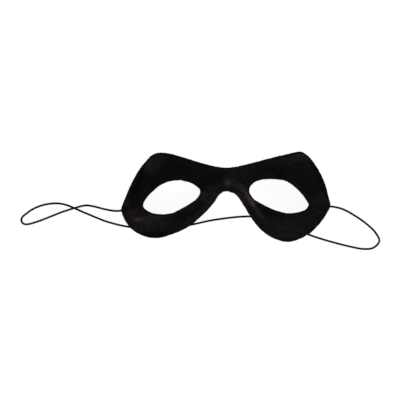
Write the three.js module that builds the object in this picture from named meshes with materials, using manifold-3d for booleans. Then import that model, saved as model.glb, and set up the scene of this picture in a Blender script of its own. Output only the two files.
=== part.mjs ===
// A domino mask of moulded black felt with a thin elastic cord, in millimetres, +Z up.
// It lies face up on the surface z = 0, with its forehead edge towards +Y and its left side
// towards -X. The bridge of the nose stands highest, and the felt is flattened where it rests.
import * as THREE from "three";
import { ParametricGeometry } from "three/addons/geometries/ParametricGeometry.js";
import { mergeVertices } from "three/addons/utils/BufferGeometryUtils.js";
import Module from "manifold-3d";

const wasm = await Module();
wasm.setup();

// The mask.
const HALF_WIDTH = 90; // from the centre line to either side point
const MASK_HEIGHT = 78; // from the lowest lobe to the highest brow corner
const BRIDGE_LIFT = 19; // the arch of the felt's underside at the centre line, without the nose
const FELT = 1.8; // wall
const EDGE_ROUND = 0.6; // how far the soft cut edge bulges out between the two faces
const CONTACT_SOFTNESS = 1; // the height over which the felt bends off the surface it rests on

// The nose, a ridge along the centre line that grows taller and wider towards the nose gap.
const NOSE_AT_NOTCH = 1.5;
const NOSE_AT_GAP = 8;
const NOSE_WIDTH_AT_NOTCH = 13;
const NOSE_WIDTH_AT_GAP = 16;

// The rounded rim that the mould raises round the nose gap. It dies away down the flanks.
const RIM_HEIGHT = 3.5;
const RIM_INSET = 3.5; // from the edge of the gap in to the crest
const RIM_WIDTH = 3.5;
const RIM_END = 26; // how far below the middle of the mask it has died away

// The cord and its tacks.
const CORD_DIAMETER = 1.6;
const PIECE_GAP = 0.3; // between pieces that touch on the real mask
const TACK_LENGTH = 8;
const TACK_WIDTH = 4;
const TACK_THICKNESS = 2;
const TACK_INSET = 9.5; // from the side point in to the middle of the tack
const TACK_RELIEF = 0.4; // how much the felt curves over the length of a tack
const TACK_ROUND = 0.4;

// How finely the felt is divided.
const STEPS_PER_SECTION = 3;
const FACE_STEPS = 10; // from the eye to the outer edge
const GAP_EDGE_STEPS = 10; // in each section, where the rim measures its way to the gap's edge
const CAP_STEPS = 3; // over the thickness of a cut edge
const CORD_STEPS = 80;
const CORD_SIDES = 8;

const table = (columns, rows) =>
  rows.map((row) => Object.fromEntries(columns.map((column, i) => [column, row[i]])));

// Each half of the mask is a band of felt round an eye. A row is one cut across that band, from the
// outer edge in to the rim of the eye. Lengths across are shares of HALF_WIDTH, lengths up are
// shares of MASK_HEIGHT. The rows go from the notch over the brow, down the side, under the eye and
// up the nose gap, and the last stretch runs along the centre line, where the halves meet.
const OUTLINE_COLUMNS = ["name", "edgeAcross", "edgeUp", "rimAcross", "rimUp"];
const LEFT_OUTLINE = table(OUTLINE_COLUMNS, [
  ["notch", 0, 0.315, 0.275, 0.114],
  ["inner brow", 0.126, 0.336, 0.337, 0.156],
  ["middle brow", 0.308, 0.396, 0.424, 0.18],
  ["outer brow", 0.5, 0.464, 0.524, 0.175],
  ["inner peak", 0.615, 0.486, 0.601, 0.145],
  ["peak", 0.692, 0.469, 0.649, 0.112],
  ["outer peak", 0.754, 0.404, 0.686, 0.074],
  ["upper side", 0.831, 0.297, 0.724, 0.034],
  ["side", 0.908, 0.134, 0.757, -0.01],
  ["lower side", 0.965, -0.021, 0.786, -0.062],
  ["side point", 1, -0.141, 0.792, -0.1],
  ["below point", 0.991, -0.188, 0.78, -0.126],
  ["under point", 0.966, -0.256, 0.753, -0.153],
  ["outer lobe", 0.905, -0.35, 0.706, -0.179],
  ["low lobe", 0.788, -0.432, 0.639, -0.193],
  ["lobe", 0.654, -0.455, 0.572, -0.193],
  ["inner lobe", 0.5, -0.406, 0.495, -0.174],
  ["low flank", 0.347, -0.32, 0.419, -0.129],
  ["flank", 0.212, -0.187, 0.337, -0.074],
  ["high flank", 0.118, -0.069, 0.275, -0.019],
  ["gap corner", 0.053, 0.04, 0.245, 0.043],
  ["gap", 0, 0.063, 0.246, 0.074],
  ["bridge", 0, 0.189, 0.257, 0.094],
]);
const RIGHT_OUTLINE = table(OUTLINE_COLUMNS, [
  ["notch", 0, 0.315, 0.241, 0.131],
  ["inner brow", 0.123, 0.334, 0.288, 0.172],
  ["middle brow", 0.296, 0.384, 0.373, 0.195],
  ["outer brow", 0.488, 0.442, 0.478, 0.193],
  ["inner peak", 0.636, 0.481, 0.565, 0.176],
  ["peak", 0.718, 0.499, 0.622, 0.143],
  ["outer peak", 0.795, 0.445, 0.665, 0.103],
  ["upper side", 0.883, 0.308, 0.706, 0.059],
  ["side", 0.947, 0.158, 0.742, 0.01],
  ["lower side", 0.983, 0.003, 0.772, -0.037],
  ["side point", 1, -0.102, 0.793, -0.084],
  ["below point", 0.976, -0.16, 0.784, -0.113],
  ["under point", 0.926, -0.254, 0.765, -0.141],
  ["outer lobe", 0.804, -0.404, 0.708, -0.166],
  ["low lobe", 0.703, -0.466, 0.651, -0.178],
  ["lobe", 0.6, -0.498, 0.589, -0.182],
  ["inner lobe", 0.473, -0.464, 0.517, -0.165],
  ["low flank", 0.339, -0.366, 0.435, -0.134],
  ["flank", 0.241, -0.227, 0.353, -0.086],
  ["high flank", 0.158, -0.072, 0.267, -0.027],
  ["gap corner", 0.081, 0.038, 0.224, 0.041],
  ["gap", 0, 0.063, 0.218, 0.074],
  ["bridge", 0, 0.189, 0.225, 0.101],
]);

// How high the felt's underside stands at each row, as shares of BRIDGE_LIFT: at the outer edge,
// half-way across the band and at the rim of the eye. Below zero the felt lies flat on the surface.
const LIFTS = table(["name", "edge", "middle", "rim"], [
  ["notch", 1, 1, 0.99],
  ["inner brow", 0.98, 0.995, 0.97],
  ["middle brow", 0.8, 0.95, 0.94],
  ["outer brow", 0.5, 0.81, 0.87],
  ["inner peak", 0.3, 0.68, 0.8],
  ["peak", 0.18, 0.58, 0.74],
  ["outer peak", 0.02, 0.46, 0.68],
  ["upper side", -0.28, 0.33, 0.6],
  ["side", -0.36, 0.21, 0.5],
  ["lower side", -0.13, 0.21, 0.42],
  ["side point", 0.18, 0.29, 0.39],
  ["below point", 0.18, 0.29, 0.39],
  ["under point", 0.17, 0.29, 0.41],
  ["outer lobe", 0.15, 0.31, 0.45],
  ["low lobe", -0.12, 0.29, 0.5],
  ["lobe", -0.28, 0.29, 0.53],
  ["inner lobe", -0.04, 0.35, 0.57],
  ["low flank", 0.26, 0.47, 0.64],
  ["flank", 0.45, 0.61, 0.73],
  ["high flank", 0.6, 0.73, 0.82],
  ["gap corner", 0.95, 0.96, 0.96],
  ["gap", 1, 1, 0.98],
  ["bridge", 1, 1, 0.99],
]);

const SECTION_COUNT = LIFTS.length;
const GAP_SECTION = LIFTS.findIndex((row) => row.name === "gap");
const SIDE_SECTION = LIFTS.findIndex((row) => row.name === "side point");
const LOBE_SECTION = LIFTS.findIndex((row) => row.name === "inner lobe");
const NOTCH_UP = LEFT_OUTLINE[0].edgeUp * MASK_HEIGHT;
const GAP_UP = LEFT_OUTLINE[GAP_SECTION].edgeUp * MASK_HEIGHT;

// Where the cord lies between its two tacks: across, up and how far it is lifted off the surface.
// It loops out to the left, crosses over itself, passes behind the mask and loops back on the right.
const CORD_ROUTE = [
  [-91.5, -12, 0.5],
  [-97, -12, 0],
  [-105.5, -10.4, 0],
  [-114.1, -8.2, 0.2],
  [-121, -7.4, 1.1],
  [-130.2, -9.6, 2],
  [-141.7, -13.3, 1.1],
  [-152.1, -17.4, 0.2],
  [-162.4, -21.3, 0],
  [-170, -23.5, 0],
  [-173.2, -23.6, 0],
  [-175.3, -22.5, 0],
  [-176.3, -20.4, 0],
  [-175.7, -17.8, 0],
  [-171.7, -14.2, 0],
  [-165.9, -10.3, 0],
  [-157.3, -7, 0],
  [-146.9, -5.6, 0],
  [-138.3, -6.8, 0],
  [-121, -14, 0],
  [-100.3, -22.1, 0],
  [-77.8, -26.7, 0],
  [-55, -27.4, 0],
  [-33.8, -24.8, 0],
  [-9.6, -19.8, 0],
  [18, -16.9, 0],
  [31.8, -17.9, 0],
  [47.4, -22.2, 0],
  [75, -33.8, 0],
  [106.1, -42.6, 0],
  [119.9, -45, 0],
  [127.6, -43.8, 0],
  [132.5, -38.2, 0],
  [129.4, -31.1, 0],
  [121.6, -23.4, 0],
  [111.2, -16.1, 0],
  [101.7, -10.9, 0],
  [94.8, -8.9, 0.2],
];

// A height off the surface, held at zero where the felt would sink into it.
function settled(height) {
  if (height > CONTACT_SOFTNESS) return height;
  return Math.max(0, height + CONTACT_SOFTNESS) ** 2 / (4 * CONTACT_SOFTNESS);
}

function noseLift(x, y) {
  const down = (NOTCH_UP - y) / (NOTCH_UP - GAP_UP);
  const height = THREE.MathUtils.lerp(NOSE_AT_NOTCH, NOSE_AT_GAP, down);
  const width = THREE.MathUtils.lerp(NOSE_WIDTH_AT_NOTCH, NOSE_WIDTH_AT_GAP, down);
  return Math.max(0, height) * Math.exp(-((x / width) ** 2));
}

// How much the nose and its rim raise the felt there.
function mouldedLift(x, y) {
  return noseLift(x, y) + rimLift(x, y);
}

function rimLift(x, y) {
  const toEdge = Math.min(...gapEdge.map((at) => Math.hypot(at.x - x, at.y - y)));
  const fade = THREE.MathUtils.smoothstep(y, -RIM_END, -RIM_END / 2);
  return fade * RIM_HEIGHT * Math.exp(-(((toEdge - RIM_INSET) / RIM_WIDTH) ** 2));
}

// One half of the felt, measured by turn, the row that a cut belongs to, and share, which goes
// from 0 at the rim of the eye to 1 at the outer edge. side is -1 for the left half.
class FeltBand {
  constructor(outline, side) {
    const place = (across, up, lift) =>
      new THREE.Vector3(side * across * HALF_WIDTH, up * MASK_HEIGHT, lift * BRIDGE_LIFT);
    const edges = outline.map((row, i) => place(row.edgeAcross, row.edgeUp, LIFTS[i].edge));
    const rims = outline.map((row, i) => place(row.rimAcross, row.rimUp, LIFTS[i].rim));
    const middles = edges.map((edge, i) => {
      const middle = edge.clone().lerp(rims[i], 0.5);
      middle.z = LIFTS[i].middle * BRIDGE_LIFT;
      return middle;
    });
    this.side = side;
    this.edge = new THREE.CatmullRomCurve3(edges.slice(0, GAP_SECTION + 1));
    this.middle = new THREE.CatmullRomCurve3(middles, true);
    this.rim = new THREE.CatmullRomCurve3(rims, true);
  }

  meetsOtherHalf(turn) {
    return turn === 0 || turn >= GAP_SECTION;
  }

  // The way out of the felt at the outer edge, seen from above.
  outward(turn) {
    if (turn === 0) return new THREE.Vector3(0, 1, 0);
    if (turn === GAP_SECTION) return new THREE.Vector3(0, -1, 0);
    const along = this.edge.getTangent(turn / GAP_SECTION).multiplyScalar(this.side);
    return new THREE.Vector3(-along.y, along.x, 0).normalize();
  }

  edgePoint(turn) {
    const inset = -EDGE_ROUND;
    const onEdge = (at) =>
      this.edge.getPoint(at / GAP_SECTION).addScaledVector(this.outward(at), inset);
    if (turn <= GAP_SECTION) return onEdge(turn);
    const back = (turn - GAP_SECTION) / (SECTION_COUNT - GAP_SECTION);
    return onEdge(GAP_SECTION).lerp(onEdge(0), back);
  }

  // Points along the edge of the nose gap, from the lobe up to the centre line.
  gapEdge() {
    const count = (GAP_SECTION - LOBE_SECTION) * GAP_EDGE_STEPS;
    return Array.from({ length: count + 1 }, (_, i) => this.edgePoint(LOBE_SECTION + i / GAP_EDGE_STEPS));
  }

  rimPoint(turn) {
    const along = this.rim.getTangent(turn / SECTION_COUNT).multiplyScalar(this.side);
    const outOfHole = new THREE.Vector3(-along.y, along.x, 0).normalize();
    return this.rim.getPoint(turn / SECTION_COUNT).addScaledVector(outOfHole, EDGE_ROUND);
  }

  // A point half-way through the felt's thickness.
  point(turn, share) {
    const edge = this.edgePoint(turn);
    const rim = this.rimPoint(turn);
    const through = this.middle.getPoint(turn / SECTION_COUNT);
    const control = through.multiplyScalar(2).addScaledVector(edge, -0.5).addScaledVector(rim, -0.5);
    const point = new THREE.QuadraticBezierCurve3(rim, control, edge).getPoint(share);
    point.z = FELT / 2 + settled(point.z + mouldedLift(point.x, point.y));
    return point;
  }

  // The direction that the felt faces there.
  normal(turn, share) {
    const step = 0.01;
    if (this.meetsOtherHalf(turn) && share === 1) {
      const y = this.edgePoint(turn).y;
      const slope = (mouldedLift(0, y + step) - mouldedLift(0, y - step)) / (2 * step);
      return new THREE.Vector3(0, -slope, 1).normalize();
    }
    const wrap = (at) => (at + SECTION_COUNT) % SECTION_COUNT;
    const along = this.point(wrap(turn + step), share).sub(this.point(wrap(turn - step), share));
    const across = this.point(turn, share + step).sub(this.point(turn, share - step));
    const normal = along.cross(across).normalize();
    return normal.z < 0 ? normal.negate() : normal;
  }

  // A point on the skin of the felt, by its step round the cut: out along the face, round the
  // outer edge, back along the underside and round the rim of the eye.
  skin(turn, step) {
    const backStart = FACE_STEPS + CAP_STEPS;
    const rimStart = backStart + FACE_STEPS;
    if (step <= FACE_STEPS) return this.skinAt(turn, step / FACE_STEPS, 1, 0);
    if (step < backStart) return this.skinAt(turn, 1, ...this.cap(step - FACE_STEPS));
    if (step <= rimStart) return this.skinAt(turn, 1 - (step - backStart) / FACE_STEPS, -1, 0);
    const [height, bulge] = this.cap(step - rimStart);
    return this.skinAt(turn, 0, -height, bulge);
  }

  cap(step) {
    const angle = (Math.PI * step) / CAP_STEPS;
    return [Math.cos(angle), Math.sin(angle)];
  }

  skinAt(turn, share, height, bulge) {
    const point = this.point(turn, share).addScaledVector(this.normal(turn, share), height * FELT / 2);
    if (bulge > 0) point.addScaledVector(this.bulgeDirection(turn, share), bulge * EDGE_ROUND);
    return point;
  }

  bulgeDirection(turn, share) {
    if (share === 1 && turn > GAP_SECTION) return new THREE.Vector3();
    if (share === 1) return this.outward(turn);
    const along = this.rim.getTangent(turn / SECTION_COUNT).multiplyScalar(-this.side);
    return new THREE.Vector3(-along.y, along.x, 0).normalize();
  }

  solid() {
    const around = 2 * (FACE_STEPS + CAP_STEPS);
    const turns = SECTION_COUNT * STEPS_PER_SECTION;
    const geometry = new ParametricGeometry(
      (u, v, target) => {
        const turn = (Math.round(v * turns) % turns) / STEPS_PER_SECTION;
        const step = Math.round(u * around) % around;
        target.copy(this.skin(turn, this.side < 0 ? step : (around - step) % around));
      },
      around,
      turns,
    );
    return manifoldOf(geometry);
  }
}

function manifoldOf(geometry) {
  geometry.deleteAttribute("normal");
  geometry.deleteAttribute("uv");
  const merged = mergeVertices(geometry);
  return new wasm.Manifold(
    new wasm.Mesh({
      numProp: 3,
      vertProperties: merged.attributes.position.array,
      triVerts: new Uint32Array(merged.index.array),
    }),
  );
}

function geometryOf(solid) {
  const mesh = solid.getMesh();
  return new THREE.BufferGeometry()
    .setAttribute("position", new THREE.BufferAttribute(mesh.vertProperties, mesh.numProp))
    .setIndex(new THREE.BufferAttribute(mesh.triVerts, 1));
}

const leftBand = new FeltBand(LEFT_OUTLINE, -1);
const rightBand = new FeltBand(RIGHT_OUTLINE, 1);
const gapEdge = [...leftBand.gapEdge(), ...rightBand.gapEdge()];

function feltMask() {
  return geometryOf(leftBand.solid().add(rightBand.solid()));
}

// Where a tack sits on the felt's underside: its middle, and the direction in which its cord leaves.
function tackSeat(band) {
  const edge = band.edgePoint(SIDE_SECTION);
  const width = edge.distanceTo(band.rimPoint(SIDE_SECTION));
  const share = 1 - TACK_INSET / width;
  const normal = band.normal(SIDE_SECTION, share);
  const outwards = new THREE.Vector3(band.side, 0, 0).projectOnPlane(normal).normalize();
  const drop = FELT / 2 + PIECE_GAP + TACK_RELIEF + TACK_THICKNESS / 2;
  const middle = band.point(SIDE_SECTION, share).addScaledVector(normal, -drop);
  return { middle, normal, outwards };
}

function tackMouth(seat) {
  return seat.middle.clone().addScaledVector(seat.outwards, TACK_LENGTH / 2 + PIECE_GAP);
}

function tackMesh(name, seat) {
  const radius = TACK_WIDTH / 2 - TACK_ROUND;
  const straight = TACK_LENGTH / 2 - TACK_ROUND - radius;
  const outline = new THREE.Shape();
  outline.absarc(straight, 0, radius, -Math.PI / 2, Math.PI / 2);
  outline.absarc(-straight, 0, radius, Math.PI / 2, -Math.PI / 2);
  const geometry = new THREE.ExtrudeGeometry(outline, {
    depth: TACK_THICKNESS - 2 * TACK_ROUND,
    bevelThickness: TACK_ROUND,
    bevelSize: TACK_ROUND,
    bevelSegments: 2,
    curveSegments: 6,
  });
  geometry.translate(0, 0, TACK_ROUND - TACK_THICKNESS / 2);
  const mesh = new THREE.Mesh(geometry, threadMaterial);
  const sideways = seat.normal.clone().cross(seat.outwards);
  mesh.quaternion.setFromRotationMatrix(
    new THREE.Matrix4().makeBasis(seat.outwards, sideways, seat.normal),
  );
  mesh.position.copy(seat.middle);
  mesh.name = name;
  return mesh;
}

// A cord can't sink into the surface that it lies on.
class LaidCurve extends THREE.CatmullRomCurve3 {
  getPoint(t, target) {
    const point = super.getPoint(t, target);
    point.z = Math.max(point.z, CORD_DIAMETER / 2);
    return point;
  }
}

function cordMesh(leftSeat, rightSeat) {
  const laid = CORD_ROUTE.map(([x, y, lift]) => new THREE.Vector3(x, y, CORD_DIAMETER / 2 + lift));
  const route = new LaidCurve([tackMouth(leftSeat), ...laid, tackMouth(rightSeat)]);
  const section = new THREE.Shape().absarc(0, 0, CORD_DIAMETER / 2, 0, 2 * Math.PI);
  const geometry = new THREE.ExtrudeGeometry(section, {
    steps: CORD_STEPS,
    curveSegments: CORD_SIDES / 2, // a circle gets twice as many
    extrudePath: route,
  });
  const mesh = new THREE.Mesh(geometry, elasticMaterial);
  mesh.name = "elastic_cord";
  return mesh;
}

const feltMaterial = new THREE.MeshStandardMaterial({ color: 0x121011, roughness: 0.95, metalness: 0 });
const elasticMaterial = new THREE.MeshStandardMaterial({ color: 0x161516, roughness: 0.7, metalness: 0 });
const threadMaterial = new THREE.MeshStandardMaterial({ color: 0x141314, roughness: 0.8, metalness: 0 });

const mask = new THREE.Mesh(feltMask(), feltMaterial);
mask.name = "mask";

const leftSeat = tackSeat(leftBand);
const rightSeat = tackSeat(rightBand);
const dominoMask = new THREE.Group();
dominoMask.add(
  mask,
  tackMesh("left_tack", leftSeat),
  tackMesh("right_tack", rightSeat),
  cordMesh(leftSeat, rightSeat),
);

export default dominoMask;
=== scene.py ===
"""A domino mask of moulded black felt with a thin elastic cord, lying face up on a white table.

Lengths are metres. The mask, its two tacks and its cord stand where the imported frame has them.
"""

import math
from collections import namedtuple

import bmesh
import bpy
import numpy as np
from mathutils import Matrix, Vector, noise


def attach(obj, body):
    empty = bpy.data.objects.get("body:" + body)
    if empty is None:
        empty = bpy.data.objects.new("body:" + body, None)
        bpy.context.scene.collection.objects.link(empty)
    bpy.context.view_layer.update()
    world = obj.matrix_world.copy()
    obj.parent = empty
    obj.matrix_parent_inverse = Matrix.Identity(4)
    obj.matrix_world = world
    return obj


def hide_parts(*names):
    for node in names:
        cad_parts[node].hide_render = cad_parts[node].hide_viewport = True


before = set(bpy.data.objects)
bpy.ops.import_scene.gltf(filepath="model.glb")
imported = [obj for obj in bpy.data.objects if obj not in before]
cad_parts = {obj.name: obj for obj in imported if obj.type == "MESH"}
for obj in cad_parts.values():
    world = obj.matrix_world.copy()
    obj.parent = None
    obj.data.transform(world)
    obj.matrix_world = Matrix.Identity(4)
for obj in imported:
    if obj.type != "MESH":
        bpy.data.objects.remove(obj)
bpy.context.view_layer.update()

bl_info = {
    "name": "Domino Mask",
    "version": (1, 0, 0),
    "blender": (4, 5, 0),
    "location": "3D View > Sidebar > Domino Mask",
    "description": "Dresses the frame of a felt domino mask with its felt, cord and stitches",
    "category": "Object",
}

BODY = "root"

# The table's top. The table itself lies a hair lower, so that no piece shares its plane.
TOP_OF_TABLE = 0.0
TABLE_GAP = 0.00002
TABLE_REACH = 15

# The frame's triangles as quads: how near two points are that are one, and how far two triangles
# that make a quad may be folded and skewed.
SAME_POINT = 0.00001
QUAD_FOLD = math.radians(60)
QUAD_SKEW = math.radians(180)

# How the felt's mesh is rounded and relaxed.
SMOOTHING_LEVELS = 2
RELAXING_PASSES = 4

# Where the felt's mesh bends, it is a cut edge: from which bend, as a share of the mesh's fineness,
# over which range of bends, in how many passes it is blurred, and how much it is then strengthened.
CUT_BEND_FROM = 0.03
CUT_BEND_RANGE = 0.06
CUT_BLUR_PASSES = 6
CUT_STRENGTH = 1.6

# How far each seed moves the pattern of random bumps, in bumps.
SEED_SHIFT = Vector((3.1, 7.7, 1.9))

# Layers of random bumps: the size of a bump, its share of the height, and its seed. The first five
# lie over the felt, and the last two run along a tack's thread, with their sizes in loops.
WAVES = [(0.014, 1, 1)]
LUMPS = [(0.0042, 0.55, 2), (0.0017, 0.45, 3)]
FRAYING = [(0.0035, 0.6, 4), (0.0014, 0.4, 5)]
WANDER_ACROSS = [(0.003, 1, 6)]
WANDER_UP = [(0.003, 1, 7)]
STRAYING = [(0.7, 1, 8)]
TIGHTENING = [(0.9, 1, 9)]

# How far the border of a spot of nap wanders.
NAP_WANDER = 0.0008

# The middle of soft noise, which runs from 0 to 1.
MIDDLE_GRAIN = 0.5

# The ways in which the hairs drawn on the felt run, in radians, and how thin they are drawn: the
# higher, the thinner.
HAIR_WAYS = (0.3, 1.0, 1.8, 2.6)
HAIR_FINENESS = 12

# The contrast and the offset that draw clumps out of soft noise.
CLUMP_CONTRAST = 4.0
CLUMP_OFFSET = 1.5

# How much lighter patches, clumps and hairs make the felt, how much painted shade darkens it where
# its nap stands, and how much darker it all is.
PATCH_LIGHT = 0.3
CLUMP_LIGHT = 0.35
HAIR_LIGHT = 0.45
PAINTED_SHADE_WHERE_STANDING = 0.3
FELT_DARK = 0.12

# How much of the painted highlight tone shows between the clumps, and of the cut tone on the cut
# edges.
PAINTED_HIGHLIGHT_IN_GAPS = 0.6
CUT_TONE_SHARE = 0.6

# How rough each finish is. Pressed nap and clumps are smoother than the rest of the felt, and the
# grain of the elastic and the thread makes them rougher.
FELT_ROUGHNESS = 0.8
PRESSED_SMOOTHER = 0.45
CLUMP_SMOOTHER = 0.2
NAP_ROUGHNESS = 0.75
ELASTIC_ROUGHNESS = 0.7
THREAD_ROUGHNESS = 0.6
GRAIN_ROUGHER = 0.2

# The clumps' share of the felt's bump. The hairs drawn on it have the rest.
CLUMP_HEIGHT = 0.35

# The height up to which the elastic's strands are dark, as painted shade in the gaps of the braid,
# and how much strands, fibres and wear change its lightness.
STRAND_DARK_TO = 0.3
STRAND_LIGHT = 0.9
FIBRE_LIGHT = 0.5
WEAR_LIGHT = 0.4

# The table's finish: the size of its clouds, their colour as a share of the table's, how rough it
# is, and its gloss.
CLOUD_SIZE = 0.4
CLOUD_SHADE = 0.99
TABLE_ROUGHNESS = 0.7
TABLE_GLOSS = 0.2

# The light tent: the heights, as sines, between which its sides fade into its top, and how strong
# its sides are.
TENT_FADE = (0.15, 0.4)
TENT_SIDES = 1.0

# A loose hair: the share of its length that is sunk in the felt, where it bends and about how far
# its tip is bent aside each way, both as shares of its length, how thick its tip is, as a share of
# its root, and how short the shortest hair is, as a share of the longest.
HAIR_SUNK = 0.08
HAIR_BEND_AT = 0.5
HAIR_BEND = 0.35
HAIR_TIP = 1 / 3
HAIR_SHORTEST = 0.45

# How far hairs lean over on the felt's faces, in radians, and how much less on its cut edges.
LEAN_ON_FACES = (1.2, 1.5)
LEAN_LESS_ON_EDGES = (0.1, 1.0)

# How finely a curve is worked out between two points of its route.
CURVE_STEPS = 60

# How much lower a strand of the cord's braid lies where another crosses over it, as a share.
UNDER_STRAND_DROP = 0.55

# The cord's end inside a tack: how far it goes on past the tack's middle, as a share of the way in,
# how many times wider and thinner the loops press it, and the length in which they do so.
CORD_END_REACH = 0.82
CORD_END_WIDER = 1.45
CORD_END_THINNER = 0.66
CORD_END_TAPER = 0.0012

# The tack's thread: the points in each loop, its sides, how blunt the ends of the tack are, and the
# least width of a loop, as the square of its share of the widest.
POINTS_A_LOOP = 20
THREAD_SIDES = 10
TACK_BLUNTNESS = 4
NARROWEST_LOOP = 0.1

# A spot on the felt: where it is, in words, its middle, how far it spreads along and across its
# turn, the turn in degrees, and its strength in the middle, which fades all round.
Spot = namedtuple("Spot", "where middle spread turn strength")

# Dents in the felt. The strength is the depth, and a negative one is a bulge.
DENTS = [
    Spot("crease on the left peak", (-0.0580, 0.0250), (0.0050, 0.0011), 84, 0.0005),
    Spot("bulge in the left lobe", (-0.0760, -0.0180), (0.0070, 0.0022), 2, -0.0005),
    Spot("dip in the bridge", (0.0032, 0.0088), (0.0035, 0.0010), 70, 0.0004),
    Spot("dip in the left flank", (-0.0195, -0.0030), (0.0040, 0.0012), 60, 0.0004),
]

# How the nap lies, and where light and shade are painted on the felt. Where the mould or a finger
# pressed it flat it is smooth, with a painted highlight, and where it stands, with a negative
# strength, it is dull, with painted shade.
NAP_AND_PAINTED_LIGHT = [
    Spot("nose rim, right", (0.0213, -0.0032), (0.0082, 0.0028), -53, 1.3),
    Spot("nose rim, low right", (0.0298, -0.0158), (0.0050, 0.0017), -55, 0.6),
    Spot("right of the bridge", (0.0110, 0.0080), (0.0060, 0.0024), -35, 0.2),
    Spot("bridge", (0.0015, 0.0122), (0.0042, 0.0034), 115, 1.0),
    Spot("left of the bridge", (-0.0105, 0.0072), (0.0095, 0.0036), 20, 0.7),
    Spot("above the bridge", (-0.0010, 0.0225), (0.0200, 0.0060), 0, 0.35),
    Spot("left flank", (-0.0175, -0.0030), (0.0045, 0.0025), 70, 0.5),
    Spot("left corner", (-0.0750, -0.0170), (0.0150, 0.0070), -4, 0.5),
    Spot("left lobe", (-0.0745, -0.0190), (0.0045, 0.0017), 0, 0.5),
    Spot("under the left eye", (-0.0600, -0.0170), (0.0060, 0.0020), 0, 0.6),
    Spot("left peak", (-0.0650, 0.0265), (0.0085, 0.0080), 0, 0.5),
    Spot("crease on the left peak", (-0.0585, 0.0260), (0.0050, 0.0018), 84, 0.5),
    Spot("inner left peak", (-0.0555, 0.0335), (0.0080, 0.0040), -15, 0.5),
    Spot("left edge", (-0.0790, 0.0120), (0.0120, 0.0022), 68, 1.0),
    Spot("right peak's edge", (0.0600, 0.0340), (0.0090, 0.0025), 8, 0.3),
    Spot("right peak", (0.0680, 0.0260), (0.0070, 0.0060), 0, -0.5),
    Spot("left brow", (-0.0300, 0.0220), (0.0260, 0.0070), -14, -0.1),
    Spot("over the right eye", (0.0475, 0.0215), (0.0160, 0.0050), -10, -0.6),
    Spot("left point", (-0.0855, -0.0045), (0.0040, 0.0050), 0, 0.7),
    Spot("left side", (-0.0760, 0.0090), (0.0100, 0.0060), 68, -0.7),
    Spot("right side", (0.0710, 0.0120), (0.0110, 0.0070), -62, -1.3),
    Spot("inner left lobe", (-0.0390, -0.0190), (0.0120, 0.0045), 27, -0.5),
    Spot("right lobe's foot", (0.0545, -0.0345), (0.0110, 0.0035), 10, 0.35),
    Spot("left lobe's foot", (-0.0540, -0.0290), (0.0200, 0.0050), 8, -0.5),
    Spot("valley under the right eye", (0.0370, -0.0120), (0.0080, 0.0035), -28, -0.8),
    Spot("gap's edge, right", (0.0235, -0.0150), (0.0100, 0.0015), -56, -0.6),
]

# Nicks in the cut edge: the middle, the radius and the depth. The first four are lost tufts over
# the eyes, and at the last one the cord presses the edge back.
Nick = namedtuple("Nick", "middle radius depth")
NICKS = [
    Nick((-0.0390, 0.0141), 0.0009, 0.0005),
    Nick((-0.0330, 0.0150), 0.0008, 0.0004),
    Nick((0.0491, 0.0141), 0.0009, 0.0005),
    Nick((0.0526, 0.0141), 0.0008, 0.0004),
    Nick((0.0691, -0.0320), 0.0020, 0.0005),
]

# Where the cord goes into each tack, as a point on its middle line.
CORD_MOUTHS = {"left": (-0.08384, -0.00973, 0.00297), "right": (0.08376, -0.00757, 0.00303)}

# The cord's way from the left tack to the right one: across, up, and its lift off the table. It
# loops out to the left, crosses over itself, passes behind the mask and loops back on the right.
CORD_ROUTE = [
    (-0.0915, -0.012, 0.0005),
    (-0.097, -0.012, 0),
    (-0.1055, -0.0104, 0),
    (-0.1141, -0.0082, 0.0002),
    (-0.121, -0.0074, 0.0011),
    (-0.1302, -0.0096, 0.002),
    (-0.1417, -0.0133, 0.0011),
    (-0.1521, -0.0174, 0.0002),
    (-0.1624, -0.0213, 0),
    (-0.17, -0.0235, 0),
    (-0.1732, -0.0236, 0),
    (-0.1753, -0.0225, 0),
    (-0.1763, -0.0204, 0),
    (-0.1757, -0.0178, 0),
    (-0.1717, -0.0142, 0),
    (-0.1659, -0.0103, 0),
    (-0.1573, -0.007, 0),
    (-0.1469, -0.0056, 0),
    (-0.1383, -0.0068, 0),
    (-0.121, -0.014, 0),
    (-0.1003, -0.0221, 0),
    (-0.0778, -0.0267, 0),
    (-0.055, -0.0274, 0),
    (-0.0338, -0.0248, 0),
    (-0.0096, -0.0198, 0),
    (0.018, -0.0169, 0),
    (0.0318, -0.0179, 0),
    (0.0474, -0.0222, 0),
    (0.075, -0.0338, 0),
    (0.1061, -0.0426, 0),
    (0.1199, -0.045, 0),
    (0.1276, -0.0438, 0),
    (0.1325, -0.0382, 0),
    (0.1294, -0.0311, 0),
    (0.1216, -0.0234, 0),
    (0.1112, -0.0161, 0),
    (0.1017, -0.0109, 0),
    (0.0948, -0.0089, 0.0002),
]

# The view: how much of the table it shows across, and its middle.
VIEW_WIDTH = 0.3453
VIEW_CENTRE = (-0.0222, -0.0027)
SENSOR_WIDTH = 36


class Wire:
    """An output socket. Arithmetic on it adds Math nodes to its tree."""

    def __init__(self, nodes, socket):
        self.nodes = nodes
        self.socket = socket

    def maths(self, operation, *values, clamp=False):
        settings = {"operation": operation, "use_clamp": clamp}
        return self.nodes.add("ShaderNodeMath", settings, dict(enumerate(values)))

    def __add__(self, other):
        return self.maths("ADD", self, other)

    def __mul__(self, other):
        return self.maths("MULTIPLY", self, other)

    def __sub__(self, other):
        return self.maths("SUBTRACT", self, other)

    def __rsub__(self, other):
        return self.maths("SUBTRACT", other, self)

    def __pow__(self, other):
        return self.maths("POWER", self, other)

    def __abs__(self):
        return self.maths("ABSOLUTE", self)

    __radd__ = __add__
    __rmul__ = __mul__

    def clamped(self):
        return self.maths("ADD", self, 0, clamp=True)


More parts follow.
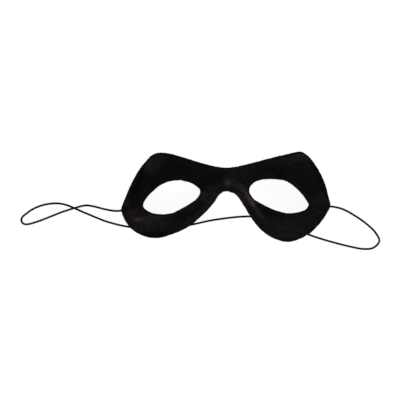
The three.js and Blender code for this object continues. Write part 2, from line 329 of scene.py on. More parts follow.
class NodeSet:
    """The nodes of one tree, added one at a time."""

    def __init__(self, tree):
        self.tree = tree
        tree.nodes.clear()

    def add(self, kind, settings=None, inputs=None, output=0):
        """Adds a node, sets its settings, then fills its sockets with values or wires."""
        node = self.tree.nodes.new(kind)
        for name, value in (settings or {}).items():
            setattr(node, name, value)
        for name, value in (inputs or {}).items():
            if isinstance(value, Wire):
                self.tree.links.new(value.socket, node.inputs[name])
            else:
                node.inputs[name].default_value = value
        return Wire(self, node.outputs[output]) if len(node.outputs) else node


class Finish(NodeSet):
    """A material in the making, on one Principled shader."""

    def __init__(self, name):
        self.material = bpy.data.materials.new(name)
        self.material.use_nodes = True
        super().__init__(self.material.node_tree)
        self.place = self.add("ShaderNodeTexCoord", output="Object")

    def grain(self, size, detail=2.0, roughness=0.5, longer=1.0, turn=0.0):
        """Soft noise from 0 to 1 in lumps about size across, or longer along one turned way."""
        turned = {"Vector": self.place, "Rotation": (0, 0, turn), "Scale": (longer, 1, 1)}
        place = self.add("ShaderNodeMapping", {"vector_type": "TEXTURE"}, turned)
        inputs = {"Vector": place, "Scale": 1 / size, "Detail": detail, "Roughness": roughness}
        return self.add("ShaderNodeTexNoise", inputs=inputs)

    def hairs(self, size, turn):
        """Thin wavy lines of 1 on 0 that run one way, about size apart, as hairs lie in felt."""
        middle = abs(self.grain(size, detail=1.0, longer=4.0, turn=turn) - MIDDLE_GRAIN)
        return (1 - middle * HAIR_FINENESS).clamped()

    def mix(self, share, low, high):
        """One colour blended into another. The sockets by number are the ones for colours."""
        settings = {"data_type": "RGBA", "clamp_factor": True}
        return self.add("ShaderNodeMix", settings, {0: share, 6: low, 7: high}, output=2)

    def attribute(self, name):
        return self.add("ShaderNodeAttribute", {"attribute_name": name}, output="Fac")

    def bump(self, height, depth):
        return self.add("ShaderNodeBump", inputs={"Height": height, "Distance": depth})

    def finish(self, **sockets):
        """Ends the material in a Principled shader with these sockets, named with underscores."""
        inputs = {name.replace("_", " "): value for name, value in sockets.items()}
        shader = self.add("ShaderNodeBsdfPrincipled", inputs=inputs)
        self.add("ShaderNodeOutputMaterial", inputs={"Surface": shader})
        return self.material


def felt_finish(settings):
    """Matted black felt: smoother where its nap is pressed, with a painted highlight there, and
    painted shade where it stands.
    """
    finish = Finish("black_felt")
    patches = finish.grain(settings.patch_size, detail=3.0)
    matting = finish.grain(settings.clump_size, detail=4.0, roughness=0.6)
    clumps = (matting * CLUMP_CONTRAST - CLUMP_OFFSET).clamped()
    layers = [finish.hairs(settings.hair_spacing, way) for way in HAIR_WAYS]
    hair = layers[0]
    for layer in layers[1:]:
        hair = hair.maths("MAXIMUM", hair, layer)
    cut = finish.attribute("cut_edge")
    pressed = finish.attribute("pressed")
    # Where the nap stands, painted shade darkens the colour.
    painted_shade_share = (0 - pressed).clamped()
    # Hairs and clumps, raised in the bump, are lighter than the gaps between them: partly their own
    # tone, partly painted shade in the gaps.
    light = patches * PATCH_LIGHT + clumps * CLUMP_LIGHT + hair * HAIR_LIGHT
    lightness = (light - painted_shade_share * PAINTED_SHADE_WHERE_STANDING - FELT_DARK).clamped()
    # Where the nap is pressed, the colour turns to a painted highlight tone.
    painted_highlight_share = (pressed.clamped() ** 2) * (PAINTED_HIGHLIGHT_IN_GAPS + clumps * (1 - PAINTED_HIGHLIGHT_IN_GAPS))
    colour = finish.mix(lightness, (*settings.shade, 1), (*settings.tone, 1))
    colour = finish.mix(painted_highlight_share, colour, (*settings.painted_highlight_tone, 1))
    colour = finish.mix((cut * CUT_TONE_SHARE).clamped(), colour, (*settings.cut_tone, 1))
    roughness = FELT_ROUGHNESS - pressed * PRESSED_SMOOTHER
    height = clumps * CLUMP_HEIGHT + hair * (1 - CLUMP_HEIGHT)
    return finish.finish(
        Base_Color=colour,
        Roughness=(roughness + (MIDDLE_GRAIN - clumps) * CLUMP_SMOOTHER).clamped(),
        Specular_IOR_Level=settings.gloss,
        Specular_Tint=(*settings.gloss_tint, 1),
        Normal=finish.bump(height, settings.grain_depth),
    )


def nap_finish(settings):
    """Loose hairs, some darker than others."""
    finish = Finish("loose_black_hair")
    shade = finish.grain(settings.shade_size, detail=3.0)
    colour = finish.mix(shade, (*settings.shade, 1), (*settings.tone, 1))
    return finish.finish(
        Base_Color=colour,
        Roughness=NAP_ROUGHNESS,
        Specular_IOR_Level=settings.gloss,
    )


def elastic_finish(settings):
    """Braided elastic: painted shade between its strands, with fine fibres and slow patches of wear.
    """
    finish = Finish("black_elastic")
    fibres = finish.grain(settings.fibre_size, detail=3.0)
    wear = finish.grain(settings.wear_size)
    strand = finish.attribute("strand")
    light = (strand - STRAND_DARK_TO) * STRAND_LIGHT + (fibres - MIDDLE_GRAIN) * FIBRE_LIGHT
    lightness = (light + (wear - MIDDLE_GRAIN) * WEAR_LIGHT).clamped()
    colour = finish.mix(lightness, (*settings.shade, 1), (*settings.tone, 1))
    return finish.finish(
        Base_Color=colour,
        Roughness=(ELASTIC_ROUGHNESS + fibres * GRAIN_ROUGHER).clamped(),
        Specular_IOR_Level=settings.gloss,
        Normal=finish.bump(fibres, settings.fibre_depth),
    )


def thread_finish(settings):
    """Sewing thread, with the fine twist of its plies and painted shade between them."""
    finish = Finish("black_thread")
    twist = finish.grain(settings.ply_size, detail=3.0, longer=3.0, turn=math.pi / 2)
    colour = finish.mix(twist, (*settings.shade, 1), (*settings.tone, 1))
    return finish.finish(
        Base_Color=colour,
        Roughness=(THREAD_ROUGHNESS + twist * GRAIN_ROUGHER).clamped(),
        Specular_IOR_Level=settings.gloss,
        Normal=finish.bump(twist, settings.ply_depth),
    )


def table_finish(settings):
    """A plain white surface, hardly cloudy, which glows a little so that it stays white."""
    finish = Finish("white_table")
    cloudiness = finish.grain(CLOUD_SIZE, detail=1.0)
    cloud = [CLOUD_SHADE * channel for channel in settings.table]
    colour = finish.mix(cloudiness, (*settings.table, 1), (*cloud, 1))
    return finish.finish(
        Base_Color=colour,
        Roughness=TABLE_ROUGHNESS,
        Specular_IOR_Level=TABLE_GLOSS,
        Emission_Color=(1, 1, 1, 1),
        Emission_Strength=settings.table_glow,
    )


def new_piece(name, mesh, material=None):
    piece = bpy.data.objects.new(name, mesh)
    bpy.context.scene.collection.objects.link(piece)
    if material:
        give_finish(piece, material)
    return piece


def give_finish(piece, material):
    piece.data.materials.clear()
    piece.data.materials.append(material)


def settle_modifiers(piece):
    """Makes what the piece's modifiers show its own mesh."""
    depsgraph = bpy.context.evaluated_depsgraph_get()
    mesh = bpy.data.meshes.new_from_object(piece.evaluated_get(depsgraph))
    piece.modifiers.clear()
    piece.data = mesh
    piece.data.name = piece.name


def shade_smooth(mesh):
    mesh.polygons.foreach_set("use_smooth", [True] * len(mesh.polygons))


def points_of(mesh):
    points = np.zeros(3 * len(mesh.vertices), np.float32)
    mesh.vertices.foreach_get("co", points)
    return points.reshape(-1, 3).astype(float)


def normals_of(mesh):
    normals = np.zeros(3 * len(mesh.vertices), np.float32)
    mesh.vertex_normals.foreach_get("vector", normals)
    return normals.reshape(-1, 3).astype(float)


def set_points(mesh, points):
    mesh.vertices.foreach_set("co", points.astype(np.float32).ravel())
    mesh.update()


def store_share(mesh, name, values):
    layer = mesh.attributes.new(name, "FLOAT", "POINT")
    layer.data.foreach_set("value", values.astype(np.float32))


class Neighbours:
    """Averages values over the vertices that share an edge with each vertex."""

    def __init__(self, mesh):
        ends = np.zeros(2 * len(mesh.edges), np.int32)
        mesh.edges.foreach_get("vertices", ends)
        self.a, self.b = ends.reshape(-1, 2).T
        self.size = len(mesh.vertices)
        self.count = np.bincount(ends, minlength=self.size)

    def average(self, values):
        total = np.bincount(self.a, values[self.b], self.size)
        total += np.bincount(self.b, values[self.a], self.size)
        return total / self.count

    def average_points(self, points):
        return np.stack([self.average(axis) for axis in points.T], axis=1)


def bumps(points, size, seed):
    """A smooth random height from about -1 to 1 at each point, in bumps about size across."""
    shift = SEED_SHIFT * seed
    return np.array([noise.noise(Vector(point) / size + shift) for point in points])


def rough(points, layers):
    """A random height at each point, added up from layers of bumps."""
    return sum(share * bumps(points, size, seed) for size, share, seed in layers)


def merged_copy(node):
    """The CAD node's triangles as one closed mesh of quads."""
    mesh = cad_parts[node].data.copy()
    work = bmesh.new()
    work.from_mesh(mesh)
    bmesh.ops.remove_doubles(work, verts=work.verts, dist=SAME_POINT)
    bmesh.ops.join_triangles(
        work,
        faces=work.faces,
        angle_face_threshold=QUAD_FOLD,
        angle_shape_threshold=QUAD_SKEW,
    )
    work.to_mesh(mesh)
    work.free()
    return mesh


def cut_edge_share(mesh, neighbours, settings):
    """1 on the rounded cut edge of the felt, falling to 0 on its two faces."""
    points = points_of(mesh)
    bend = np.linalg.norm(neighbours.average_points(points) - points, axis=1)
    share = np.clip((bend / settings.voxel - CUT_BEND_FROM) / CUT_BEND_RANGE, 0, 1)
    for _ in range(CUT_BLUR_PASSES):
        share = neighbours.average(share)
    return np.clip(share * CUT_STRENGTH, 0, 1)


def strength_of(spots, points):
    """The strengths of all the spots at each point, added up."""
    total = np.zeros(len(points))
    for spot in spots:
        turn = np.array(Matrix.Rotation(math.radians(spot.turn), 2))
        offsets = (points[:, :2] - np.array(spot.middle)) @ turn
        total += spot.strength * np.exp(-((offsets / np.array(spot.spread)) ** 2).sum(axis=1))
    return total


def nap_and_painted_light_share(points, normals):
    """-1 where the nap stands, 0 where it lies loose, as on the back, and 1 where it is pressed; it
    also sets painted shade and painted highlight.
    """
    ragged = points.copy()
    ragged[:, 0] += NAP_WANDER * rough(points, WANDER_ACROSS)
    ragged[:, 1] += NAP_WANDER * rough(points, WANDER_UP)
    return np.clip(strength_of(NAP_AND_PAINTED_LIGHT, ragged), -1, 1) * (normals[:, 2] > 0)


def shape_felt(mesh, settings):
    """Presses dents into the felt, frays its cut edges and raises its matted surface."""
    neighbours = Neighbours(mesh)
    cut = cut_edge_share(mesh, neighbours, settings)
    points, normals = points_of(mesh), normals_of(mesh)
    relief = settings.waviness * rough(points, WAVES) + settings.relief * rough(points, LUMPS)
    fray = settings.spread + settings.fray * rough(points, FRAYING)
    for nick in NICKS:
        away = np.linalg.norm(points[:, :2] - np.array(nick.middle), axis=1)
        fray -= nick.depth * np.exp(-((away / nick.radius) ** 2))
    out = relief * (1 - cut) + fray * cut
    moved = points + normals * out[:, None]
    moved[:, 2] = np.maximum(moved[:, 2] - strength_of(DENTS, points), TOP_OF_TABLE)
    set_points(mesh, moved)
    store_share(mesh, "cut_edge", cut)
    # The pressed share also sets where shade and highlight are painted into the felt's colour.
    store_share(mesh, "pressed", nap_and_painted_light_share(points, normals))


def route_points(through, step):
    """Even points about step apart on a smooth curve through the given ones, and its length."""
    through = [np.array(point) for point in through]
    ends = [2 * through[0] - through[1], *through, 2 * through[-1] - through[-2]]
    curve = []
    for p0, p1, p2, p3 in zip(ends, ends[1:], ends[2:], ends[3:]):
        gaps = [p1 - p0, p2 - p1, p3 - p2]
        t1, t2, t3 = np.cumsum([np.linalg.norm(gap) ** 0.5 for gap in gaps])
        for t in np.linspace(t1, t2, CURVE_STEPS, endpoint=False):
            a1 = p0 + (p1 - p0) * t / t1
            a2 = p1 + (p2 - p1) * (t - t1) / (t2 - t1)
            a3 = p2 + (p3 - p2) * (t - t2) / (t3 - t2)
            b1 = a1 + (a2 - a1) * t / t2
            b2 = a2 + (a3 - a2) * (t - t1) / (t3 - t1)
            curve.append(b1 + (b2 - b1) * (t - t1) / (t2 - t1))
    curve = np.array([*curve, through[-1]])
    along = np.concatenate([[0], np.cumsum(np.linalg.norm(np.diff(curve, axis=0), axis=1))])
    length = along[-1]
    even = np.linspace(0, length, round(length / step))
    return np.stack([np.interp(even, along, axis) for axis in curve.T], axis=1), length


def tube(name, points, radius, sides):
    """A closed tube along the points, as a mesh whose vertices go round it ring by ring."""
    curve = bpy.data.curves.new(name, "CURVE")
    curve.dimensions = "3D"
    curve.bevel_depth = radius
    # A bevel has four sides, and two more for each step of its resolution.
    curve.bevel_resolution = (sides - 4) // 2
    curve.twist_mode = "MINIMUM"
    spline = curve.splines.new("POLY")
    spline.points.add(len(points) - 1)
    spline.points.foreach_set("co", np.column_stack([points, np.ones(len(points))]).ravel())
    holder = bpy.data.objects.new(name, curve)
    bpy.context.scene.collection.objects.link(holder)
    depsgraph = bpy.context.evaluated_depsgraph_get()
    mesh = bpy.data.meshes.new_from_object(holder.evaluated_get(depsgraph))
    bpy.data.objects.remove(holder)
    mesh.name = name
    work = bmesh.new()
    work.from_mesh(mesh)
    bmesh.ops.holes_fill(work, edges=[edge for edge in work.edges if edge.is_boundary], sides=sides)
    work.to_mesh(mesh)
    work.free()
    shade_smooth(mesh)
    return mesh


def braided_tube(name, points, settings):
    """A tube along the points, with the gaps between two crossing sets of strands sunk into it."""
    rings, sides = len(points), settings.sides
    mesh = tube(name, points, settings.diameter / 2, sides)
    verts = points_of(mesh)
    if len(verts) != rings * sides:
        raise RuntimeError(f"{name} has {len(verts)} points and not {rings} rings of {sides}")
    ring = np.repeat(np.arange(rings), sides)
    angle = np.tile(np.arange(sides), rings) * math.tau / sides
    along = ring * settings.step * math.tau / settings.lay_length
    with_lay = (angle + along) * settings.strands / math.tau
    against_lay = (angle - along) * settings.strands / math.tau
    crown_with = np.abs(np.sin(math.pi * with_lay))
    crown_against = np.abs(np.sin(math.pi * against_lay))
    with_on_top = (np.floor(with_lay) + np.floor(against_lay)) % 2 == 0
    upper = np.where(with_on_top, crown_with, crown_against)
    lower = np.where(with_on_top, crown_against, crown_with)
    height = np.maximum(upper, lower - UNDER_STRAND_DROP)
    inward = points[ring] - verts
    inward /= np.linalg.norm(inward, axis=1)[:, None]
    set_points(mesh, verts + inward * (settings.braid * (1 - height))[:, None])
    store_share(mesh, "strand", height)
    return mesh


def colour_property(name, description, default):
    about = {"name": name, "description": description, "default": default}
    return bpy.props.FloatVectorProperty(subtype="COLOR", size=3, min=0, max=1, **about)


def length_property(name, description, default):
    about = {"name": name, "description": description, "default": default}
    return bpy.props.FloatProperty(unit="LENGTH", subtype="DISTANCE", precision=5, min=0, **about)


def share_property(name, description, default):
    about = {"name": name, "description": description, "default": default}
    return bpy.props.FloatProperty(subtype="FACTOR", min=0, max=1, **about)


def amount_property(name, description, default, unit="NONE"):
    about = {"name": name, "description": description, "default": default}
    return bpy.props.FloatProperty(unit=unit, min=0, **about)


def count_property(name, description, default, least):
    about = {"name": name, "description": description, "default": default}
    return bpy.props.IntProperty(min=least, **about)


class FeltSettings(bpy.types.PropertyGroup):
    """The felt shell of the mask."""

    voxel: length_property("Fineness", "Distance between the points of the felt's mesh", 0.0005)
    waviness: length_property("Waviness", "Height of the felt's broad unevenness", 0.00012)
    relief: length_property("Matting", "Height of the matted lumps on the felt's faces", 0.0001)
    fray: length_property("Fray", "How far the cut edge wanders", 0.00028)
    spread: length_property("Spread", "How far the cut edge fluffs out", 0.0004)
    patch_size: length_property("Patches", "Size of the broad light and dark patches", 0.011)
    clump_size: length_property("Clumps", "Size of the matted clumps of hair", 0.003)
    hair_spacing: length_property("Hair spacing", "Distance between the finest hairs", 0.0007)
    grain_depth: length_property("Hair depth", "Depth of the finest hairs, drawn as bump", 0.00008)
    # Partly painted shade, in the gaps between the raised hairs.
    shade: colour_property("Shade", "Colour between the hairs", (0.0006, 0.00055, 0.00058))
    tone: colour_property("Tone", "Colour of the hair on the faces", (0.0030, 0.0026, 0.0028))
    # A painted highlight: the light, pink tone of the nap where it is pressed.
    painted_highlight_tone: colour_property("Pressed tone", "Colour of pressed nap", (0.0215, 0.0150, 0.0183))
    cut_tone: colour_property("Cut edge", "Colour of the cut edge", (0.0012, 0.0011, 0.0012))
    gloss: share_property("Gloss", "Specular level of the hair", 0.05)
    gloss_tint: colour_property("Gloss tint", "Colour of the gloss", (1.0, 0.88, 0.93))


class NapSettings(bpy.types.PropertyGroup):
    """The loose hairs of the felt."""

    length: length_property("Length", "Length of the longest hairs", 0.0014)
    thickness: length_property("Thickness", "Diameter of a hair at its root", 0.00006)
    on_faces: amount_property("On the faces", "Hairs on a square metre of the felt's faces", 2.5e5)
    on_edges: amount_property("On the edges", "Hairs on a square metre of its cut edges", 1.2e6)
    shade_size: length_property("Shade size", "Distance over which the colour changes", 0.0012)
    shade: colour_property("Shade", "Colour of the darkest hairs", (0.0010, 0.0010, 0.0010))
    tone: colour_property("Tone", "Colour of the lightest hairs", (0.0080, 0.0068, 0.0075))
    gloss: share_property("Gloss", "Specular level of the hairs", 0.06)


class CordSettings(bpy.types.PropertyGroup):
    """The elastic cord."""

    diameter: length_property("Diameter", "Outer diameter of the cord", 0.0018)
    sides: count_property("Sides", "Points round the cord", 24, least=8)
    step: length_property("Step", "Distance between rings of points along the cord", 0.00015)
    strands: count_property("Strands", "Strands each way in the braid", 6, least=2)
    lay_length: length_property("Lay", "Length in which a strand goes once round the cord", 0.0072)
    braid: length_property("Braid relief", "Height of the strands over the gaps", 0.00008)
    fibre_size: length_property("Fibres", "Size of the fibres in a strand", 0.00025)
    fibre_depth: length_property("Fibre depth", "Depth of the fibres, drawn as bump", 0.00004)
    wear_size: length_property("Wear", "Size of the worn patches along the cord", 0.009)
    # Painted shade in the sunk gaps between the strands.
    shade: colour_property("Shade", "Colour between the strands", (0.0016, 0.0016, 0.0016))
    tone: colour_property("Tone", "Colour of the strands", (0.0045, 0.0042, 0.0044))
    gloss: share_property("Gloss", "Specular level of the elastic", 0.06)


class ThreadSettings(bpy.types.PropertyGroup):
    """The stitched tacks that hold the cord."""

    diameter: length_property("Thread", "Diameter of the sewing thread", 0.0004)
    loops: count_property("Loops", "Loops of thread over each tack", 15, least=3)
    unevenness: share_property("Unevenness", "How far the loops stray, as a share of the thread", 0.4)
    reach: length_property("Reach", "How far the loops go up towards the felt and into it", 0.0006)
    ply_size: length_property("Plies", "Size of the thread's plies", 0.0003)
    ply_depth: length_property("Ply depth", "Depth of the plies, drawn as bump", 0.00006)
    # Painted shade in the grooves between the plies.
    shade: colour_property("Shade", "Colour between the plies", (0.0012, 0.0012, 0.0012))
    tone: colour_property("Tone", "Colour of the thread", (0.0040, 0.0038, 0.0039))
    gloss: share_property("Gloss", "Specular level of the thread", 0.08)


class StageSettings(bpy.types.PropertyGroup):
    """The table, the lights and the camera."""

    table: colour_property("Table", "Colour of the table", (0.09, 0.09, 0.09))
    table_glow: amount_property("Table glow", "Light that the table gives off by itself", 0.94)
    tent_top: share_property("Tent top", "Strength of the even light from above", 0.25)
    right_light: amount_property("Right light", "Power of the light on the right", 14, "POWER")
    left_light: amount_property("Left light", "Power of the light on the lower left", 15, "POWER")
    camera_height: length_property("Camera height", "Height of the camera over the table", 2.2)


class MASK_OT_stage(bpy.types.Operator):
    """Makes the table, the soft lights and the camera straight above the mask"""

    bl_idname = "domino_mask.set_stage"
    bl_label = "Set the stage"

    def execute(self, context):
        settings = context.scene.mask_stage
        self.make_table(settings)
        self.make_lights(context, settings)
        self.make_camera(context, settings)
        return {"FINISHED"}

    def make_table(self, settings):
        mesh = bpy.data.meshes.new("table")
        work = bmesh.new()
        bmesh.ops.create_grid(work, x_segments=1, y_segments=1, size=TABLE_REACH)
        bmesh.ops.translate(work, verts=work.verts, vec=(0, 0, TOP_OF_TABLE - TABLE_GAP))
        work.to_mesh(mesh)
        work.free()
        new_piece("table", mesh, table_finish(settings))

    def make_lights(self, context, settings):
        world = bpy.data.worlds.new("light_tent")
        world.use_nodes = True
        context.scene.world = world
        tent = NodeSet(world.node_tree)
        way = tent.add("ShaderNodeTexCoord", output="Generated")
        height = tent.add("ShaderNodeSeparateXYZ", inputs={"Vector": way}, output="Z")
        fade_from, fade_to = TENT_FADE
        heights = {"Value": height, "From Min": fade_from, "From Max": fade_to}
        strengths = {"To Min": TENT_SIDES, "To Max": settings.tent_top}
        smooth = {"interpolation_type": "SMOOTHSTEP"}
        strength = tent.add("ShaderNodeMapRange", smooth, heights | strengths)
        white = {"Color": (1, 1, 1, 1), "Strength": strength}
        light = tent.add("ShaderNodeBackground", inputs=white)
        tent.add("ShaderNodeOutputWorld", inputs={"Surface": light})
        self.soft_light("right_light", settings.right_light, place=(0.90, 0.45, 0.32), size=0.5)
        self.soft_light("left_light", settings.left_light, place=(-0.40, -0.90, 0.40), size=0.6)

    def soft_light(self, name, power, place, size):
        light = bpy.data.lights.new(name, "AREA")
        light.shape = "SQUARE"
        light.size = size
        light.energy = power
        lamp = bpy.data.objects.new(name, light)
        bpy.context.scene.collection.objects.link(lamp)
        lamp.location = place
        lamp.rotation_euler = (-Vector(place)).to_track_quat("-Z", "Y").to_euler()

    def make_camera(self, context, settings):
        camera = bpy.data.cameras.new("camera")
        camera.sensor_width = SENSOR_WIDTH
        camera.lens = SENSOR_WIDTH * settings.camera_height / VIEW_WIDTH
        holder = bpy.data.objects.new("camera", camera)
        context.scene.collection.objects.link(holder)
        holder.location = (*VIEW_CENTRE, settings.camera_height)
        context.scene.camera = holder
        context.scene.view_settings.view_transform = "Standard"


class MASK_OT_cord(bpy.types.Operator):
    """Lays the braided elastic cord along its route, from one tack to the other"""

    bl_idname = "domino_mask.lay_cord"
    bl_label = "Lay the cord"

    def execute(self, context):
        settings = context.scene.mask_cord
        radius = settings.diameter / 2
        laid = [(x, y, lift + radius) for x, y, lift in CORD_ROUTE]
        through = [CORD_MOUTHS["left"], *laid, CORD_MOUTHS["right"]]
        points, length = route_points(through, settings.step)
        points[:, 2] = np.maximum(points[:, 2], TOP_OF_TABLE + radius)
        mesh = braided_tube("elastic_cord_braided", points, settings)
        piece = new_piece("elastic_cord_braided", mesh, elastic_finish(settings))
        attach(piece, BODY)
        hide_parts("elastic_cord")
        return {"FINISHED"}


class MASK_OT_felt(bpy.types.Operator):
    """Forms the felt shell from the mask's frame and gives it its matted surface"""

    bl_idname = "domino_mask.form_felt"
    bl_label = "Form the felt"

    def execute(self, context):
        settings = context.scene.mask_felt
        piece = new_piece("felt_mask", merged_copy("mask"))
        rounding = piece.modifiers.new("rounding", "SUBSURF")
        rounding.levels = rounding.render_levels = SMOOTHING_LEVELS
        remesh = piece.modifiers.new("even_mesh", "REMESH")
        remesh.mode = "VOXEL"
        remesh.voxel_size = settings.voxel
        relax = piece.modifiers.new("relaxing", "SMOOTH")
        relax.iterations = RELAXING_PASSES
        settle_modifiers(piece)
        shape_felt(piece.data, settings)
        give_finish(piece, felt_finish(settings))
        shade_smooth(piece.data)
        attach(piece, BODY)
        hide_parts("mask")
        return {"FINISHED"}


class MASK_OT_nap(bpy.types.Operator):
    """Scatters loose hairs over the felt, closest along its cut edges"""

    bl_idname = "domino_mask.raise_nap"
    bl_label = "Raise the nap"

    def execute(self, context):
        settings = context.scene.mask_nap
        hair = self.hair(settings)
        felt = bpy.data.objects["felt_mask"]
        piece = new_piece("felt_nap", felt.data.copy())
        piece.modifiers.new("scatter", "NODES").node_group = self.scatter(settings, hair)
        settle_modifiers(piece)
        bpy.data.objects.remove(hair)
        give_finish(piece, nap_finish(settings))
        shade_smooth(piece.data)
        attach(piece, BODY)
        return {"FINISHED"}

    def hair(self, settings):
        """One thin, bent, three-sided hair that stands on the origin, with its root sunk a little."""
        mesh = bpy.data.meshes.new("hair")
        work = bmesh.new()
        bmesh.ops.create_cone(
            work,
            segments=3,
            cap_ends=True,
            radius1=settings.thickness / 2,
            radius2=settings.thickness / 2 * HAIR_TIP,
            depth=settings.length,
        )
        rise = settings.length * (0.5 - HAIR_SUNK)
        bmesh.ops.translate(work, verts=work.verts, vec=(0, 0, rise))
        everything = [*work.verts, *work.edges, *work.faces]
        bend_place = (0, 0, settings.length * (HAIR_BEND_AT - HAIR_SUNK))
        bmesh.ops.bisect_plane(work, geom=everything, plane_co=bend_place, plane_no=(0, 0, 1))
        for vert in work.verts:
            bend = HAIR_BEND * settings.length * (vert.co.z / settings.length) ** 2
            vert.co.x += bend
            vert.co.y -= bend
        work.to_mesh(mesh)
        work.free()
        return new_piece("hair", mesh)

    def scatter(self, settings, hair):
        """Nodes that set hairs on a mesh: nearly flat on its faces and raised on its cut edges."""
        tree = bpy.data.node_groups.new("scatter", "GeometryNodeTree")
        tree.interface.new_socket("Geometry", in_out="INPUT", socket_type="NodeSocketGeometry")
        tree.interface.new_socket("Geometry", in_out="OUTPUT", socket_type="NodeSocketGeometry")
        nodes = NodeSet(tree)
        skin = nodes.add("NodeGroupInput")
        share = {"data_type": "FLOAT"}
        cut = nodes.add("GeometryNodeInputNamedAttribute", share, {"Name": "cut_edge"})
        density = (1 - cut) * settings.on_faces + cut * settings.on_edges
        inputs = {"Mesh": skin, "Density": density, "Seed": 1}
        roots = nodes.add("GeometryNodeDistributePointsOnFaces", inputs=inputs)
        facing = Wire(nodes, roots.socket.node.outputs["Rotation"])
        lean = self.chance(nodes, *LEAN_ON_FACES, seed=2)
        lean = lean - cut * self.chance(nodes, *LEAN_LESS_ON_EDGES, seed=3)
        spun = self.turned(nodes, facing, "Z", self.chance(nodes, 0, math.tau, seed=4))
        leaning = self.turned(nodes, spun, "X", lean)
        shape = nodes.add("GeometryNodeObjectInfo", inputs={"Object": hair}, output="Geometry")
        inputs = {"Points": roots, "Instance": shape, "Rotation": leaning}
        inputs["Scale"] = self.chance(nodes, HAIR_SHORTEST, 1, seed=5)
        hairs = nodes.add("GeometryNodeInstanceOnPoints", inputs=inputs)
        hairs = nodes.add("GeometryNodeRealizeInstances", inputs={"Geometry": hairs})
        place = nodes.add("GeometryNodeInputPosition")
        apart = nodes.add("ShaderNodeSeparateXYZ", inputs={"Vector": place}).socket.node
        x, y, z = (Wire(nodes, apart.outputs[axis]) for axis in "XYZ")
        above = {"X": x, "Y": y, "Z": z.maths("MAXIMUM", z, TOP_OF_TABLE)}
        place = nodes.add("ShaderNodeCombineXYZ", inputs=above)
        hairs = nodes.add("GeometryNodeSetPosition", inputs={"Geometry": hairs, "Position": place})
        nodes.add("NodeGroupOutput", inputs={"Geometry": hairs})
        return tree

    def chance(self, nodes, low, high, seed):
        """A random number from low to high for each hair. The sockets by number are for numbers."""
        inputs = {2: low, 3: high, "Seed": seed}
        return nodes.add("FunctionNodeRandomValue", {"data_type": "FLOAT"}, inputs, output=1)

    def turned(self, nodes, rotation, axis, angle):
        """The rotation, turned on by an angle round its own axis."""
        euler = nodes.add("ShaderNodeCombineXYZ", inputs={axis: angle})
        by = nodes.add("FunctionNodeEulerToRotation", inputs={"Euler": euler})
        inputs = {"Rotation": rotation, "Rotate By": by}
        return nodes.add("FunctionNodeRotateRotation", {"rotation_space": "LOCAL"}, inputs)


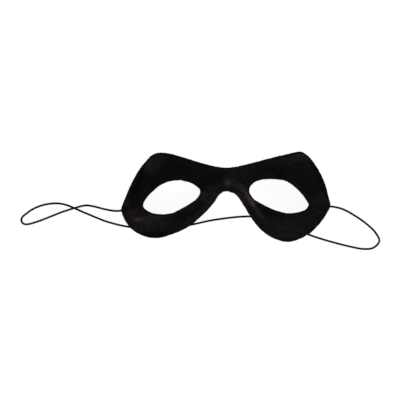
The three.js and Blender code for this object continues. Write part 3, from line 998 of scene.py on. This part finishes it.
class MASK_OT_tacks(bpy.types.Operator):
    """Winds the thread of the two tacks and lays the cord's ends inside them"""

    bl_idname = "domino_mask.sew_tacks"
    bl_label = "Sew the tacks"

    def execute(self, context):
        thread = thread_finish(context.scene.mask_thread)
        elastic = bpy.data.materials["black_elastic"]
        for side, mouth in CORD_MOUTHS.items():
            seat = self.seat(f"{side}_tack")
            self.sew(f"{side}_tack", seat, context.scene.mask_thread, thread)
            self.flatten_cord(f"{side}_cord_end", seat, mouth, context.scene.mask_cord, elastic)
        return {"FINISHED"}

    def flatten_cord(self, name, seat, mouth, settings, finish):
        """The cord's end, pressed flat inside the tack's loops."""
        _, across, up, middle = seat
        inner = middle + (middle - mouth) * CORD_END_REACH
        steps = round(np.linalg.norm(inner - mouth) / settings.step)
        mesh = braided_tube(name, np.linspace(mouth, inner, steps), settings)
        verts = points_of(mesh)
        pressed = np.clip(np.linalg.norm(verts - mouth, axis=1) / CORD_END_TAPER, 0, 1)
        wider = pressed * (CORD_END_WIDER - 1) * ((verts - middle) @ across)
        thinner = pressed * (CORD_END_THINNER - 1) * ((verts - middle) @ up)
        set_points(mesh, verts + np.outer(wider, across) + np.outer(thinner, up))
        piece = new_piece(name, mesh, finish)
        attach(piece, BODY)

    def sew(self, node, seat, settings, finish):
        """The tack's thread, wound along it in loops that go up into the felt."""
        along, across, up, middle = seat
        verts = points_of(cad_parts[node].data) - middle
        outer = [np.ptp(verts @ way) for way in (along, across, up)]
        length, width, thickness = np.array(outer) - settings.diameter
        steps = settings.loops * POINTS_A_LOOP
        turn = np.linspace(0, settings.loops * math.tau, steps)
        run = np.linspace(-length / 2, length / 2, steps)
        squared = 1 - (2 * np.abs(run) / (length + width)) ** TACK_BLUNTNESS
        narrowing = np.sqrt(np.clip(squared, NARROWEST_LOOP, 1))
        loops = np.column_stack([turn / math.tau, 0 * turn, 0 * turn])
        stray = settings.unevenness * settings.diameter
        run = np.clip(run + stray * rough(loops, STRAYING), -length / 2, length / 2)
        narrowing -= 2 * stray / width * np.abs(rough(loops, TIGHTENING))
        aside = np.cos(turn) * narrowing * width / 2
        upward = np.sin(turn) * narrowing * thickness / 2
        upward += np.clip(np.sin(turn), 0, 1) * settings.reach
        points = middle + np.outer(run, along) + np.outer(aside, across) + np.outer(upward, up)
        mesh = tube(f"{node}_thread", points, settings.diameter / 2, THREAD_SIDES)
        piece = new_piece(f"{node}_thread", mesh, finish)
        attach(piece, BODY)
        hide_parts(node)

    def seat(self, node):
        """The tack's long way, its wide way, its thin way towards the felt, and its middle."""
        verts = points_of(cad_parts[node].data)
        middle = (verts.min(axis=0) + verts.max(axis=0)) / 2
        _, _, (along, across, up) = np.linalg.svd(verts - middle, full_matrices=False)
        return along, across, up * np.sign(up[2]), middle


class MASK_PT_panel(bpy.types.Panel):
    """Lists the steps that dress the mask, with their sizes and colours"""

    bl_idname = "MASK_PT_panel"
    bl_label = "Domino Mask"
    bl_space_type = "VIEW_3D"
    bl_region_type = "UI"
    bl_category = "Domino Mask"

    def draw(self, context):
        for operator, group in STEPS:
            box = self.layout.box()
            box.operator(operator.bl_idname)
            settings = getattr(context.scene, group)
            for name in settings.bl_rna.properties.keys():
                if name not in ("rna_type", "name"):
                    box.prop(settings, name)


GROUPS = {
    "mask_stage": StageSettings,
    "mask_cord": CordSettings,
    "mask_felt": FeltSettings,
    "mask_nap": NapSettings,
    "mask_thread": ThreadSettings,
}
STEPS = [
    (MASK_OT_stage, "mask_stage"),
    (MASK_OT_cord, "mask_cord"),
    (MASK_OT_felt, "mask_felt"),
    (MASK_OT_nap, "mask_nap"),
    (MASK_OT_tacks, "mask_thread"),
]
CLASSES = [*GROUPS.values(), *(operator for operator, _ in STEPS), MASK_PT_panel]


def register():
    for each in CLASSES:
        bpy.utils.register_class(each)
    for name, group in GROUPS.items():
        setattr(bpy.types.Scene, name, bpy.props.PointerProperty(type=group))


def unregister():
    for name in GROUPS:
        delattr(bpy.types.Scene, name)
    for each in reversed(CLASSES):
        bpy.utils.unregister_class(each)


def main():
    register()
    bpy.ops.domino_mask.set_stage()
    bpy.ops.domino_mask.lay_cord()
    bpy.ops.domino_mask.form_felt()
    bpy.ops.domino_mask.raise_nap()
    bpy.ops.domino_mask.sew_tacks()


if __name__ == "__main__":
    main()
